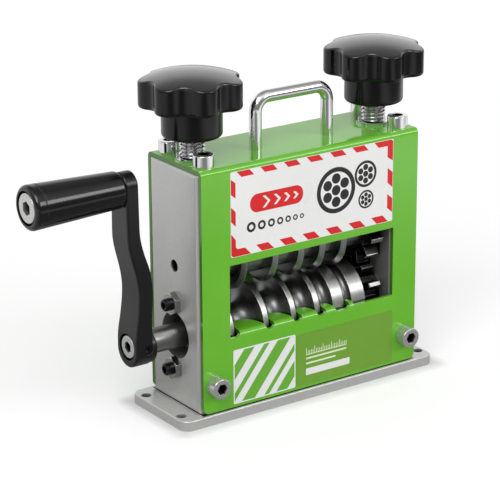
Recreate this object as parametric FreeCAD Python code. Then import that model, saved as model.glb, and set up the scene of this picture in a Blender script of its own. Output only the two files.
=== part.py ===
import FreeCAD, Part
import math
import os

# Hand crank wire stripper: a folded sheet housing on two thick side plates, a grooved feed
# roller driven by a crank, and above it a shaft of round blades that two star knobs lower.
# Millimetres. X runs along the front, Y to the back, Z up, origin at the middle of the
# base plate's underside.

# Clearances
fit_gap = 0.03
run_gap = 0.05
thread_gap = 0.05
seat_gap = 0.2

# Feed roller: ridges and bands stand between round-bottomed grooves, listed from the crank end
roller_r = 18.7
ridge_widths = [3.0, 2.8, 2.8, 3.0, 6.5, 8.2]
groove_widths = [17.0, 13.4, 11.2, 7.9, 4.8]
groove_depths = [10.2, 8.4, 6.6, 4.7, 2.8]
groove_flank_angle = 12.0

# Shafts and keys
shaft_r = 6.0
key_width = 4.0
key_height = 3.4
key_depth = 2.2
key_inset_left = 1.0
key_inset_right = 0.5
drive_z = 39.3

# Blades
blade_count = len(groove_widths)
blade_r = 17.0
blade_thick = 3.6
blade_bevel = 2.0
blade_edge_flat = 0.3
blade_dip = 1.0
spacer_r = 11.0
blade_shaft_inset = 2.5
spacer_step = 1.2
travel_down = 1.5
travel_up = 3.0

# Gears
gear_teeth = 12
gear_width = 7.2
gear_addendum = 1.95
gear_dedendum = 3.95
gear_thick_root = 4.2
gear_thick_pitch = 3.3
gear_thick_tip = 1.9
gear_phase = 4.5
gear_spacer = 3.4
gear_spacer_r = 11.0
gear_bevel = 0.4

# Ends of the roller stack
end_gap_left = 2.4
end_gap_right = 2.8
sleeve_r = 8.4

# Sheet housing
sheet = 2.0
bend_r = 2.5
bend_inner_r = 0.25
inner_margin = 1.0
cover_corner_r = 3.0
cover_foot_gap = 0.5
top_above_blade = 50.7
window_left = 47.8
window_right = 48.8
window_above_drive = 2.2
window_above_blade = 2.8
window_corner_r = 0.5

# Folded comb in the window's lower edge
comb_top_rise = 3.8
comb_bend_r = 2.6
comb_gap = 1.2
comb_clearance = 1.0
comb_notch_r = 2.6
comb_notch_corner = 2.3
comb_notch_share = 0.45
comb_foot = 5.0

# Cable inlets in the back
inlet_margin = 0.5

# Side plates
plate_thick = 15.8
plate_gap = 0.4
plate_round = 2.0
cap_screw_inset = 7.5
cover_inset = 0.8
drive_hole_r = 11.5
blade_hole_r = 3.0

# Base plate
base_thick = 5.0
base_overhang_x = 11.0
base_overhang_y = 1.5
base_corner_r = 5.0
base_edge_r = 0.6
base_hole_r = 2.5
base_hole_edge_x = 3.7
base_hole_edge_y = 8.4

# Bearings
drive_bearing_r = 12.0
drive_bearing_width = 6.0
blade_bearing_r = 10.5
blade_bearing_width = 5.0
race_thick = 1.6
seal_recess = 0.3

# Bearing retainers and their studs
retainer_thick = 2.0
retainer_half = 13.0
retainer_end_r = 5.0
retainer_bore_r = 10.0
stud_r = 3.0
stud_offset = 16.2
stud_out = 6.4
lock_nut_af = 10.0
lock_nut_thick = 3.2
stud_socket_af = 3.0
stud_socket_depth = 2.5
stud_chamfer = 0.5
lock_nut_crown = 1.0
lock_nut_crown_r = 6.2

# Bearing blocks that slide in the side plates
block_depth = 10.5
block_half = 12.65
block_below = 12.0
block_above = 20.0
block_wall = 1.1
block_round = 1.0
slide_end_gap = 0.5
slide_side_gap = 0.1

# Adjusting screws, their bushes and knobs
screw_inset = 4.8
screw_r = 6.0
screw_pitch = 1.75
thread_depth = 0.95
thread_root_at = 0.45
thread_crest_at = 0.9
thread_below_top = 6.0
thread_end = 0.5
collar_r = 5.0
collar_height = 2.9
neck_r = 3.0
slot_lip = 2.8
bush_r = 7.5
bush_flange_r = 8.4
bush_flange = 1.2
bush_length = 18.0
knob_lift = 9.6
knob_hub_r = 14.3
knob_hub_height = 14.1
knob_r = 24.7
knob_lobes = 7
knob_lobe_r = 7.0
knob_valley_r = 20.6
knob_edge_height = 12.6
knob_crown = 4.7
knob_edge_r = 1.2
knob_under_r = 1.8
knob_dome_overlap = 2.0
knob_turn = -3.0
knob_socket_depth = 16.0

# Cap screws, M6
screw_m6_r = 3.0
cap_head_r = 5.0
cap_head_height = 6.0
cap_socket_af = 5.0
cap_socket_depth = 3.2
cap_edge = 0.5
screw_free = 0.2
side_screw_length = 10.0
side_screw_z = 19.1
top_screw_length = 14.0
top_screw_y = 14.5
base_screw_length = 14.0
base_screw_y = 8.0
base_head_r = 5.8
base_head_height = 3.0
base_socket_af = 4.0
base_socket_depth = 2.0
base_sink_gap = 0.1

# Carry handle
handle_r = 3.0
handle_pitch = 41.6
handle_height = 27.6
handle_bend_r = 7.0
handle_y = -5.0
handle_screw_r = 2.0
handle_screw_length = 10.0
handle_screw_free = 0.2
handle_head_r = 3.5
handle_head_height = 3.0
handle_socket_af = 2.5
handle_socket_depth = 1.6
handle_washer_r = 5.0
handle_washer = 1.0

# Crank arm: its sides are curves through (distance from the hub's outer face, height above axis)
crank_radius = 77.5
crank_standoff = 15.0
hub_length = 12.0
hub_r = 8.7
hub_boss_r = 8.3
arm_past_axis = 1.2
arm_outer = [
    (0.0, 3.0), (1.1, 12.0), (2.2, 20.0), (2.6, 27.5),
    (1.6, 36.0), (-0.4, 44.0), (-2.1, 52.0), (-2.4, 60.0),
]
arm_inner = [
    (9.3, 8.0), (9.5, 15.0), (10.2, 23.0), (10.3, 30.5),
    (9.1, 38.5), (6.5, 46.5), (4.7, 54.5), (4.4, 61.0),
]
eye_r = 6.8
arm_edge_r = 1.0
hub_recess_r = 6.5
hub_recess_depth = 4.0
hub_web = 1.6

# Crank screws
hub_screw_r = 3.0
hub_screw_length = 13.6
hub_screw_hole = 13.0
hub_screw_head_r = 5.5
hub_screw_head = 3.6
hub_socket_depth = 2.4
set_screw_r = 2.5
set_screw_length = 2.0
set_socket_af = 2.5
set_socket_depth = 1.2
set_screw_from_face = 6.4

# Turning grip, slimmer at the arm, and its shoulder screw
grip_outer_r = 10.6
grip_inner_r = 8.7
grip_length = 47.4
grip_gap = 0.6
grip_outer_edge_r = 2.2
grip_inner_edge_r = 1.2
grip_ring_depth = 0.5
grip_ring_width = 0.6
grip_ring_from_end = 5.0
grip_recess_r = 8.0
grip_head_r = 7.0
grip_head_thick = 5.0
grip_head_inset = 0.2
grip_socket_af = 6.0
grip_socket_depth = 3.5
grip_axle_r = 4.0
grip_thread_r = 3.0
grip_thread_inset = 0.3

# Shaft ends and circlips
shaft_tail = 11.0
circlip_r = 8.2
circlip_thick = 1.0
circlip_groove = 0.5
circlip_half_gap = 1.6

# Worked out from the sizes above
roller_length = sum(ridge_widths) + sum(groove_widths)
span = end_gap_left + roller_length + gear_spacer + gear_width + end_gap_right
inner_x = span / 2
outer_x = inner_x + plate_thick
roller_x0 = -inner_x + end_gap_left
roller_x1 = roller_x0 + roller_length
gear_x0 = roller_x1 + gear_spacer
gear_x1 = gear_x0 + gear_width
axis_distance = roller_r + blade_r - blade_dip
blade_z = drive_z + axis_distance
gear_pitch_r = axis_distance / 2
gear_tip_r = gear_pitch_r + gear_addendum
gear_root_r = gear_pitch_r - gear_dedendum
inner_half = max(roller_r, blade_r, gear_tip_r) + inner_margin
cover_half = inner_half + sheet
plate_half = inner_half - plate_gap
plate_top_z = blade_z + top_above_blade - sheet
cover_top_z = plate_top_z + sheet
cap_screw_x = outer_x - cap_screw_inset
cover_end_x = outer_x - cover_inset
cover_foot_z = base_thick + cover_foot_gap
screw_x = inner_x + screw_inset
block_top_z = blade_z + block_above
crank_z = drive_z + crank_radius
hub_x1 = -outer_x - crank_standoff
hub_x0 = hub_x1 - hub_length
shaft_x0 = hub_x0 + hub_recess_depth + hub_web
eye_x0 = hub_x0 + arm_outer[-1][0]
eye_x1 = hub_x0 + arm_inner[-1][0]
window_low_z = drive_z + window_above_drive
window_high_z = blade_z + window_above_blade
comb_top_z = drive_z + comb_top_rise


def box(x0, x1, y0, y1, z0, z1):
    corner = FreeCAD.Vector(min(x0, x1), min(y0, y1), min(z0, z1))
    return Part.makeBox(abs(x1 - x0), abs(y1 - y0), abs(z1 - z0), corner)


def rod_x(r, x0, x1, y, z):
    start = FreeCAD.Vector(min(x0, x1), y, z)
    return Part.makeCylinder(r, abs(x1 - x0), start, FreeCAD.Vector(1, 0, 0))


def rod_y(r, y0, y1, x, z):
    start = FreeCAD.Vector(x, min(y0, y1), z)
    return Part.makeCylinder(r, abs(y1 - y0), start, FreeCAD.Vector(0, 1, 0))


def rod_z(r, z0, z1, x, y):
    start = FreeCAD.Vector(x, y, min(z0, z1))
    return Part.makeCylinder(r, abs(z1 - z0), start, FreeCAD.Vector(0, 0, 1))


def ring_x(r_out, r_in, x0, x1, z):
    hole = rod_x(r_in, min(x0, x1) - 1, max(x0, x1) + 1, 0, z)
    return rod_x(r_out, x0, x1, 0, z).cut(hole)


def hex_prism(across_flats, height):
    corner_r = across_flats / math.sqrt(3)
    points = [
        FreeCAD.Vector(corner_r * math.cos(k * math.pi / 3), corner_r * math.sin(k * math.pi / 3), 0)
        for k in range(7)
    ]
    return Part.Face(Part.makePolygon(points)).extrude(FreeCAD.Vector(0, 0, height))


def place(shape, x, y, z, direction):
    # Turns a piece built along +Z so that it points along direction, then moves it
    turned = shape.copy()
    turn = FreeCAD.Rotation(FreeCAD.Vector(0, 0, 1), FreeCAD.Vector(*direction))
    turned.Placement = FreeCAD.Placement(FreeCAD.Vector(x, y, z), turn)
    return turned


def edges_where(shape, test):
    return [edge for edge in shape.Edges if test(edge.BoundBox)]


def turned_profile(points, z):
    # A closed outline of (x, radius) points turned about an X axis at height z
    corners = [FreeCAD.Vector(x, 0, z + r) for x, r in points]
    face = Part.Face(Part.makePolygon(corners + corners[:1]))
    return face.revolve(FreeCAD.Vector(0, 0, z), FreeCAD.Vector(1, 0, 0), 360)


def save(name, solids):
    shape = solids[0] if len(solids) == 1 else Part.makeCompound(solids)
    shape.exportStep("parts/" + name + ".step")


# Grooved feed roller
def groove_edges(left, width, depth, rim_r):
    # Straight flanks that run tangent into a round bottom
    flank = math.radians(groove_flank_angle)
    bottom_r = (width / 2 - depth * math.tan(flank)) / (
        math.cos(flank) - (1 - math.sin(flank)) * math.tan(flank)
    )
    middle = left + width / 2
    floor_r = rim_r - depth
    tangent_x = bottom_r * math.cos(flank)
    tangent_r = floor_r + bottom_r * (1 - math.sin(flank))
    a = FreeCAD.Vector(left, 0, rim_r)
    b = FreeCAD.Vector(middle - tangent_x, 0, tangent_r)
    c = FreeCAD.Vector(middle, 0, floor_r)
    d = FreeCAD.Vector(middle + tangent_x, 0, tangent_r)
    e = FreeCAD.Vector(left + width, 0, rim_r)
    return [Part.LineSegment(a, b), Part.Arc(b, c, d), Part.LineSegment(d, e)]


def roller_body(swell):
    # The roller's own outline, or with swell the room that the comb leaves round it
    rim_r = roller_r + swell
    curves = []
    x = roller_x0 - swell
    start = FreeCAD.Vector(x, 0, 0)
    curves.append(Part.LineSegment(start, FreeCAD.Vector(x, 0, rim_r)))
    ridge_x = roller_x0
    for k, ridge in enumerate(ridge_widths):
        ridge_end = ridge_x + ridge + swell
        curves.append(Part.LineSegment(FreeCAD.Vector(x, 0, rim_r), FreeCAD.Vector(ridge_end, 0, rim_r)))
        x = ridge_end
        if k < len(groove_widths):
            width = groove_widths[k] - 2 * swell
            curves += groove_edges(x, width, groove_depths[k], rim_r)
            x = x + width
            ridge_x = ridge_x + ridge + groove_widths[k]
    end = FreeCAD.Vector(x, 0, 0)
    curves.append(Part.LineSegment(FreeCAD.Vector(x, 0, rim_r), end))
    curves.append(Part.LineSegment(end, start))
    wire = Part.Wire([curve.toShape() for curve in curves])
    body = Part.Face(wire).revolve(FreeCAD.Vector(0, 0, 0), FreeCAD.Vector(1, 0, 0), 360)
    body.translate(FreeCAD.Vector(0, 0, drive_z))
    return body


def key_slot(x0, x1, z, gap):
    top = z + shaft_r - key_depth + key_height
    return box(x0, x1, -key_width / 2 - gap, key_width / 2 + gap, z + shaft_r - key_depth - gap, top + gap)


def keyed_bore(solid, x0, x1, z):
    bored = solid.cut(rod_x(shaft_r + fit_gap, x0 - 1, x1 + 1, 0, z))
    return bored.cut(key_slot(x0 - 1, x1 + 1, z, fit_gap))


groove_x = []
groove_start = roller_x0
for ridge, width in zip(ridge_widths, groove_widths):
    groove_start = groove_start + ridge
    groove_x.append(groove_start + width / 2)
    groove_start = groove_start + width

feed_roller = keyed_bore(roller_body(0), roller_x0, roller_x1, drive_z)
save("feed_roller", [feed_roller])


# Gears with long slim teeth, so that they stay in mesh over the blades' travel
def gear(axis_z, first_tooth):
    curves = []
    pitch = 360 / gear_teeth

    def tooth_point(r, thick, side, centre):
        angle = math.radians(centre) + side * thick / (2 * r)
        return FreeCAD.Vector(gear_x0, -r * math.cos(angle), axis_z + r * math.sin(angle))

    for k in range(gear_teeth):
        centre = first_tooth + k * pitch
        rise = [
            tooth_point(gear_root_r, gear_thick_root, -1, centre),
            tooth_point(gear_pitch_r, gear_thick_pitch, -1, centre),
            tooth_point(gear_tip_r, gear_thick_tip, -1, centre),
        ]
        crest = tooth_point(gear_tip_r, 0, 1, centre)
        fall = [
            tooth_point(gear_tip_r, gear_thick_tip, 1, centre),
            tooth_point(gear_pitch_r, gear_thick_pitch, 1, centre),
            tooth_point(gear_root_r, gear_thick_root, 1, centre),
        ]
        valley = tooth_point(gear_root_r, 0, 1, centre + pitch / 2)
        next_foot = tooth_point(gear_root_r, gear_thick_root, -1, centre + pitch)
        curves.append(Part.Arc(*rise))
        curves.append(Part.Arc(rise[2], crest, fall[0]))
        curves.append(Part.Arc(*fall))
        curves.append(Part.Arc(fall[2], valley, next_foot))
    wire = Part.Wire([curve.toShape() for curve in curves])
    blank = Part.Face(wire).extrude(FreeCAD.Vector(gear_width, 0, 0))
    rim = [
        (gear_x0, 0),
        (gear_x0, gear_tip_r - gear_bevel),
        (gear_x0 + gear_bevel, gear_tip_r + run_gap),
        (gear_x1 - gear_bevel, gear_tip_r + run_gap),
        (gear_x1, gear_tip_r - gear_bevel),
        (gear_x1, 0),
    ]
    bevelled = blank.common(turned_profile(rim, axis_z))
    return keyed_bore(bevelled, gear_x0, gear_x1, axis_z)


save("drive_gear", [gear(drive_z, 90 - gear_phase)])
save("blade_gear", [gear(blade_z, -90 + gear_phase + 180 / gear_teeth)])

# Drive shaft with its keyway, circlip groove and tapped crank end
key_x0 = roller_x0 + key_inset_left
key_x1 = gear_x1 - key_inset_right
drive_shaft_x1 = inner_x + shaft_tail
circlip_x = inner_x + drive_bearing_width + seat_gap
shaft = rod_x(shaft_r, shaft_x0, drive_shaft_x1, 0, drive_z)
shaft = shaft.cut(key_slot(key_x0 - fit_gap, key_x1 + fit_gap, drive_z, fit_gap))
clip_groove_r = shaft_r - circlip_groove
for side in (-1, 1):
    shaft = shaft.cut(ring_x(shaft_r + 1, clip_groove_r, side * circlip_x,
                             side * (circlip_x + circlip_thick), drive_z))
shaft = shaft.cut(rod_x(hub_screw_r + thread_gap, shaft_x0 - 1, shaft_x0 + hub_screw_hole, 0, drive_z))
save("drive_shaft", [shaft])
save("drive_key", [key_slot(key_x0, key_x1, drive_z, 0)])


def circlip(x0, axis_z):
    ring = ring_x(circlip_r, clip_groove_r + fit_gap, x0 + run_gap, x0 + circlip_thick - run_gap, axis_z)
    return ring.cut(box(x0 - 1, x0 + circlip_thick + 1, -circlip_half_gap, circlip_half_gap,
                        axis_z - circlip_r - 1, axis_z))


save("drive_circlips", [circlip(circlip_x, drive_z), circlip(-circlip_x - circlip_thick, drive_z)])


# Sleeves that hold the roller and gear apart and off the bearings
def sleeve(x0, x1, r_out, z):
    return ring_x(r_out, shaft_r + fit_gap, x0, x1, z).cut(key_slot(x0 - 1, x1 + 1, z, fit_gap))


save("drive_sleeve_left", [sleeve(-inner_x + run_gap, roller_x0, sleeve_r, drive_z)])
save("drive_sleeve_middle", [sleeve(roller_x1, gear_x0, gear_spacer_r, drive_z)])
save("drive_sleeve_right", [sleeve(gear_x1, inner_x - run_gap, sleeve_r, drive_z)])

# Blade shaft in the two sliding blocks
block_x0 = inner_x + seat_gap
block_x1 = block_x0 + block_depth
blade_bearing_x1 = block_x0 + blade_bearing_width
blade_clip_x = blade_bearing_x1 + 2 * run_gap
blade_shaft_x1 = block_x1 - blade_shaft_inset
blade_shaft = rod_x(shaft_r, -blade_shaft_x1, blade_shaft_x1, 0, blade_z)
blade_shaft = blade_shaft.cut(key_slot(key_x0 - fit_gap, key_x1 + fit_gap, blade_z, fit_gap))
for side in (-1, 1):
    blade_shaft = blade_shaft.cut(ring_x(shaft_r + 1, clip_groove_r, side * blade_clip_x,
                                         side * (blade_clip_x + circlip_thick), blade_z))
save("blade_shaft", [blade_shaft])
save("blade_key", [key_slot(key_x0, key_x1, blade_z, 0)])
save("blade_circlips", [circlip(blade_clip_x, blade_z), circlip(-blade_clip_x - circlip_thick, blade_z)])

# Round blades, ground to an edge from both faces, one over each groove
for k, x in enumerate(groove_x):
    half = blade_thick / 2
    shoulder_r = blade_r - blade_bevel
    outline = [
        (x - half, 0),
        (x - half, shoulder_r),
        (x - blade_edge_flat / 2, blade_r),
        (x + blade_edge_flat / 2, blade_r),
        (x + half, shoulder_r),
        (x + half, 0),
    ]
    blade = keyed_bore(turned_profile(outline, blade_z), x - half, x + half, blade_z)
    save("blade_" + str(k + 1), [blade])

# Spacers between the blades, the outer two stepped down so that they only touch the inner races
spacer_starts = [-inner_x - seat_gap + run_gap] + [x + blade_thick / 2 for x in groove_x]
spacer_ends = [x - blade_thick / 2 for x in groove_x] + [gear_x0]
for k, (x0, x1) in enumerate(zip(spacer_starts, spacer_ends)):
    spacer = sleeve(x0, x1, spacer_r, blade_z)
    if k == 0:
        spacer = spacer.cut(ring_x(spacer_r + 1, sleeve_r, x0, x0 + spacer_step, blade_z))
    save("blade_spacer_" + str(k + 1), [spacer])
save("blade_spacer_" + str(blade_count + 2),
     [sleeve(gear_x1, inner_x + seat_gap - run_gap, sleeve_r, blade_z)])


# Ball bearings: outer race, inner race and the seal between them
def bearing(side, x_near, width, r_out, axis_z):
    bore_r = shaft_r + run_gap
    x0 = side * x_near
    x1 = side * (x_near + width)
    outer = ring_x(r_out, r_out - race_thick, min(x0, x1), max(x0, x1), axis_z)
    inner = ring_x(bore_r + race_thick, bore_r, min(x0, x1), max(x0, x1), axis_z)
    seal = ring_x(r_out - race_thick - fit_gap, bore_r + race_thick + fit_gap,
                  min(x0, x1) + seal_recess, max(x0, x1) - seal_recess, axis_z)
    return [outer, inner, seal]


for name, side in (("left", -1), ("right", 1)):
    save("drive_bearing_" + name, bearing(side, inner_x, drive_bearing_width, drive_bearing_r, drive_z))
    save("blade_bearing_" + name, bearing(side, block_x0, blade_bearing_width, blade_bearing_r, blade_z))

# Bearing blocks with a slot on top that holds the adjusting screw's collar
collar_top_z = block_top_z - slot_lip
collar_room = collar_height + 2 * run_gap
for name, side in (("left", -1), ("right", 1)):
    block = box(side * block_x0, side * block_x1, -block_half, block_half,
                blade_z - block_below, block_top_z)
    upright = edges_where(block, lambda b: b.ZLength > block_below)
    block = block.makeFillet(block_round, upright)
    block = block.cut(rod_x(blade_bearing_r + fit_gap, side * (block_x0 - 1),
                            side * blade_bearing_x1, 0, blade_z))
    block = block.cut(rod_x(blade_bearing_r - block_wall, side * block_x0, side * (block_x1 + 1), 0, blade_z))
    neck_room = (neck_r, collar_top_z - 1, block_top_z + 1)
    collar_slot = (collar_r, collar_top_z - collar_room, collar_top_z)
    for r, z0, z1 in (neck_room, collar_slot):
        room = r + 2 * run_gap
        block = block.cut(rod_z(room, z0, z1, side * screw_x, 0))
        block = block.cut(box(side * (block_x0 - 1), side * screw_x, -room, room, z0, z1))
    save("bearing_block_" + name, [block])

# Side plates: drive bearing pocket, slide for the bearing block, channel for the screw bush
slide_z0 = blade_z - block_below - travel_down - seat_gap
slide_z1 = block_top_z + travel_up + slide_end_gap
bush_foot_z = plate_top_z - bush_length
for name, side in (("left", -1), ("right", 1)):
    plate = box(side * inner_x, side * outer_x, -plate_half, plate_half, base_thick, plate_top_z)
    face_x = side * outer_x
    rim = edges_where(plate, lambda b: abs(b.XMin - face_x) < 0.01 and abs(b.XMax - face_x) < 0.01)
    plate = plate.makeFillet(plate_round, rim)
    plate = plate.cut(rod_x(drive_hole_r, side * (inner_x - 1), side * (outer_x + 1), 0, drive_z))
    plate = plate.cut(rod_x(drive_bearing_r + fit_gap, side * (inner_x - 1),
                            side * (inner_x + drive_bearing_width + run_gap), 0, drive_z))
    plate = plate.cut(rod_x(blade_hole_r, side * (inner_x - 1), side * (outer_x + 1), 0, blade_z))
    plate = plate.cut(box(side * (inner_x - 1), side * (block_x1 + slide_side_gap), -block_half - run_gap,
                          block_half + run_gap, slide_z0, slide_z1))
    plate = plate.cut(rod_z(bush_r + thread_gap, slide_z1 - 1, plate_top_z + 1, side * screw_x, 0))
    plate = plate.cut(box(side * (inner_x - 1), side * screw_x, -bush_r - thread_gap, bush_r + thread_gap,
                          slide_z1 - 1, plate_top_z + 1))
    tap_r = screw_m6_r + thread_gap
    for offset in (-stud_offset, stud_offset):
        plate = plate.cut(rod_x(tap_r, side * (inner_x - 1), side * (outer_x + 1), 0, drive_z + offset))
    for y in (-1, 1):
        plate = plate.cut(rod_y(tap_r, y * (cover_half - side_screw_length - 1), y * cover_half,
                                side * cap_screw_x, side_screw_z))
        plate = plate.cut(rod_z(tap_r, cover_top_z - top_screw_length - 1, cover_top_z,
                                side * cap_screw_x, y * top_screw_y))
        plate = plate.cut(rod_z(tap_r, 0, base_screw_length + 1, side * cap_screw_x, y * base_screw_y))
    save("side_plate_" + name, [plate])


# Retainers that keep the drive bearings in, with their studs and lock nuts
studs = []
nuts = []
for name, side in (("left", -1), ("right", 1)):
    near_x = side * inner_x
    far_x = side * (inner_x - retainer_thick)
    cut_x = side * (inner_x - retainer_thick - 1)
    waist = rod_x(retainer_half, near_x, far_x, 0, drive_z)
    tab = box(near_x, far_x, -retainer_end_r, retainer_end_r, drive_z - stud_offset, drive_z + stud_offset)
    retainer = waist.fuse(tab)
    for offset in (-stud_offset, stud_offset):
        retainer = retainer.fuse(rod_x(retainer_end_r, near_x, far_x, 0, drive_z + offset))
    retainer = retainer.removeSplitter()
    retainer = retainer.cut(rod_x(retainer_bore_r, cut_x, near_x + side, 0, drive_z))
    for offset in (-stud_offset, stud_offset):
        stud_z = drive_z + offset
        retainer = retainer.cut(rod_x(stud_r + thread_gap, cut_x, near_x + side, 0, stud_z))
        stud = rod_z(stud_r, 0, plate_thick + retainer_thick + stud_out, 0, 0)
        tip = edges_where(stud, lambda b: b.ZLength < 0.01)
        stud = stud.makeChamfer(stud_chamfer, tip)
        socket = hex_prism(stud_socket_af, stud_socket_depth + 1)
        socket.translate(FreeCAD.Vector(0, 0, plate_thick + retainer_thick + stud_out - stud_socket_depth))
        stud = stud.cut(socket)
        studs.append(place(stud, far_x, 0, stud_z, (side, 0, 0)))
        nut = hex_prism(lock_nut_af, lock_nut_thick)
        crown_z = lock_nut_thick - lock_nut_crown
        crown = Part.makeCone(lock_nut_crown_r, lock_nut_af / 2, lock_nut_crown,
                              FreeCAD.Vector(0, 0, crown_z), FreeCAD.Vector(0, 0, 1))
        nut = nut.common(rod_z(lock_nut_af, 0, crown_z, 0, 0).fuse(crown))
        nut = nut.cut(rod_z(stud_r + thread_gap, -1, lock_nut_thick + 1, 0, 0))
        nuts.append(place(nut, side * outer_x, 0, stud_z, (side, 0, 0)))
    save("bearing_retainer_" + name, [retainer])
save("retainer_studs", studs)
save("stud_lock_nuts", nuts)

# Base plate with four open mounting holes and countersunk holes for its own screws
base_half_x = outer_x + base_overhang_x
base_half_y = cover_half + base_overhang_y
base = box(-base_half_x, base_half_x, -base_half_y, base_half_y, 0, base_thick)
base = base.makeFillet(base_corner_r, edges_where(base, lambda b: b.ZLength > base_thick / 2))
base = base.makeFillet(base_edge_r, edges_where(base, lambda b: b.ZMin > base_thick - 0.01))
for sx in (-1, 1):
    for sy in (-1, 1):
        hole_x = sx * (base_half_x - base_hole_edge_x)
        hole_y = sy * (base_half_y - base_hole_edge_y)
        base = base.cut(rod_z(base_hole_r, -1, base_thick + 1, hole_x, hole_y))
        screw_y = sy * base_screw_y
        base = base.cut(rod_z(screw_m6_r + thread_gap, -1, base_thick + 1, sx * cap_screw_x, screw_y))
        sink = Part.makeCone(base_head_r + base_sink_gap, screw_m6_r + base_sink_gap, base_head_height,
                             FreeCAD.Vector(sx * cap_screw_x, screw_y, 0), FreeCAD.Vector(0, 0, 1))
        base = base.cut(sink)
save("base_plate", [base])

# Sheet housing: front, top and back folded from one sheet
cover = box(-cover_end_x, cover_end_x, -cover_half, cover_half, cover_foot_z, cover_top_z)
cover = cover.makeFillet(bend_r, edges_where(cover, lambda b: b.ZMin > cover_top_z - 0.01 and b.XLength > 1))
hollow = box(-outer_x - 1, outer_x + 1, -inner_half, inner_half, base_thick - 1, plate_top_z)
hollow = hollow.makeFillet(bend_inner_r, edges_where(
    hollow, lambda b: b.ZMin > plate_top_z - 0.01 and b.XLength > 1))
cover = cover.cut(hollow)
foot_corners = edges_where(cover, lambda b: b.ZMax < cover_foot_z + 0.01 and b.XLength < 0.01)
cover = cover.makeFillet(cover_corner_r, foot_corners)
cut_y0 = -cover_half - 1
cut_y1 = -inner_half + inner_margin / 2
window = box(-window_left, window_right, cut_y0, cut_y1, window_low_z, window_high_z)
window = window.makeFillet(window_corner_r, edges_where(window, lambda b: b.YLength > 1))
cover = cover.cut(window)

# The comb's tongues lie in the grooves and hold the cable down to the roller
comb_x1 = groove_x[-1] + groove_widths[-1] / 2 - comb_gap
comb_foot_z = comb_top_z - comb_foot
cover = cover.cut(box(-window_left, comb_x1, cut_y0, cut_y1, comb_foot_z, comb_top_z))
comb = box(-window_left, comb_x1, -cover_half, 0, comb_foot_z, comb_top_z)
comb = comb.makeFillet(comb_bend_r, edges_where(
    comb, lambda b: b.XLength > 1 and b.ZMin > comb_top_z - 0.01 and b.YMax < -1))
under = box(-window_left - 1, comb_x1 + 1, -inner_half, 1, comb_foot_z - 1, comb_top_z - sheet)
under = under.makeFillet(comb_bend_r - sheet, edges_where(
    under, lambda b: b.XLength > 1 and b.ZMin > comb_top_z - sheet - 0.01 and b.YMax < 0))
comb = comb.cut(under).cut(roller_body(comb_clearance))
notch_left = -window_left - 1
for x, width in zip(groove_x, groove_widths):
    notch_right = x - width / 2 + comb_gap
    comb = comb.cut(box(notch_left, notch_right, -inner_half, 1, comb_foot_z - 1, comb_top_z + 1))
    notch = box(notch_left, notch_right, -cover_half - 1, 1,
                comb_top_z - comb_notch_r, comb_top_z + comb_notch_r)
    corner_r = min(comb_notch_corner, comb_notch_share * (notch_right - notch_left))
    notch = notch.makeFillet(corner_r, edges_where(notch, lambda b: b.YLength > 1 and b.ZMax < comb_top_z))
    comb = comb.cut(notch)
    notch_left = x + width / 2 - comb_gap
cover = cover.fuse(comb).removeSplitter()

# Holes in the housing: cable inlets at the back, screws, screw bushes and handle
for x, width, depth in zip(groove_x, groove_widths, groove_depths):
    inlet_r = width / 2 - inlet_margin
    inlet_z = drive_z + roller_r - depth + inlet_r
    cover = cover.cut(rod_y(inlet_r, inner_half - 1, cover_half + 1, x, inlet_z))
free_r = screw_m6_r + screw_free
for side in (-1, 1):
    cover = cover.cut(rod_z(bush_r + thread_gap, plate_top_z - 1, cover_top_z + 1, side * screw_x, 0))
    cover = cover.cut(rod_z(handle_screw_r + handle_screw_free, plate_top_z - 1, cover_top_z + 1,
                            side * handle_pitch / 2, handle_y))
    for y in (-1, 1):
        cover = cover.cut(rod_y(free_r, y * (inner_half - 1), y * (cover_half + 1),
                                side * cap_screw_x, side_screw_z))
        cover = cover.cut(rod_z(free_r, plate_top_z - 1, cover_top_z + 1,
                                side * cap_screw_x, y * top_screw_y))
save("housing_cover", [cover])


# Screws with round heads and hexagon sockets; the head stands above z = 0
def cap_screw(shank_r, length, head_r, head_height, socket_af, socket_depth):
    head = rod_z(head_r, 0, head_height, 0, 0)
    head = head.makeFillet(cap_edge, edges_where(head, lambda b: b.ZMin > head_height - 0.01))
    socket = hex_prism(socket_af, socket_depth + 1)
    socket.translate(FreeCAD.Vector(0, 0, head_height - socket_depth))
    shank = rod_z(shank_r, -length, 0, 0, 0)
    return head.cut(socket).fuse(shank)


side_screw = cap_screw(screw_m6_r, side_screw_length, cap_head_r, cap_head_height,
                       cap_socket_af, cap_socket_depth)
top_screw = cap_screw(screw_m6_r, top_screw_length, cap_head_r, cap_head_height,
                      cap_socket_af, cap_socket_depth)
for name, y in (("front", -1), ("rear", 1)):
    save(name + "_cap_screws", [
        place(side_screw, side * cap_screw_x, y * cover_half, side_screw_z, (0, y, 0)) for side in (-1, 1)
    ])
save("top_cap_screws", [
    place(top_screw, side * cap_screw_x, y * top_screw_y, cover_top_z, (0, 0, 1))
    for side in (-1, 1) for y in (-1, 1)
])

# Countersunk base screws, flush with the underside
sunk = Part.makeCone(base_head_r, screw_m6_r, base_head_height)
sunk = sunk.fuse(rod_z(screw_m6_r, base_head_height / 2, base_screw_length, 0, 0))
sunk = sunk.cut(hex_prism(base_socket_af, base_socket_depth))
save("base_screws", [
    place(sunk, side * cap_screw_x, y * base_screw_y, 0, (0, 0, 1)) for side in (-1, 1) for y in (-1, 1)
])

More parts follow.
